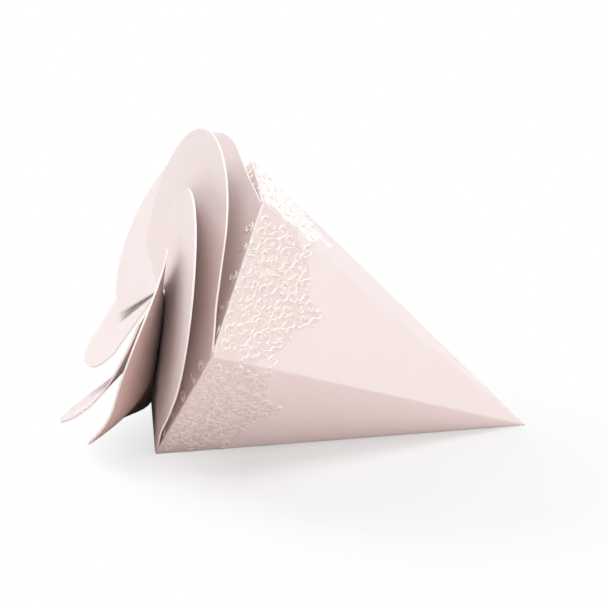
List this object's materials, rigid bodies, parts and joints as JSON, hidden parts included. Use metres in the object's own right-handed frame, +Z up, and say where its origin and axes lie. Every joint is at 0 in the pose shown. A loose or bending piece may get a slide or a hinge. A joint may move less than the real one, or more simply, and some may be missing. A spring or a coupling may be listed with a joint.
{
  "type": "cone favour box",
  "caption": "Pale pink pearly card favour box: a six-sided folded cone lying on one panel, its mouth closed by overlapping round petals.",
  "frame": {"origin": "middle of the box's footprint on the table", "axes": "+Z up, +X towards the cone's tip, the petal mouth faces -X"},
  "size_m": [0.1046, 0.076, 0.0681],
  "materials": {
    "card": "satin"
  },
  "bodies": {
    "root": {"card_blank": "card"}
  },
  "joints": []
}
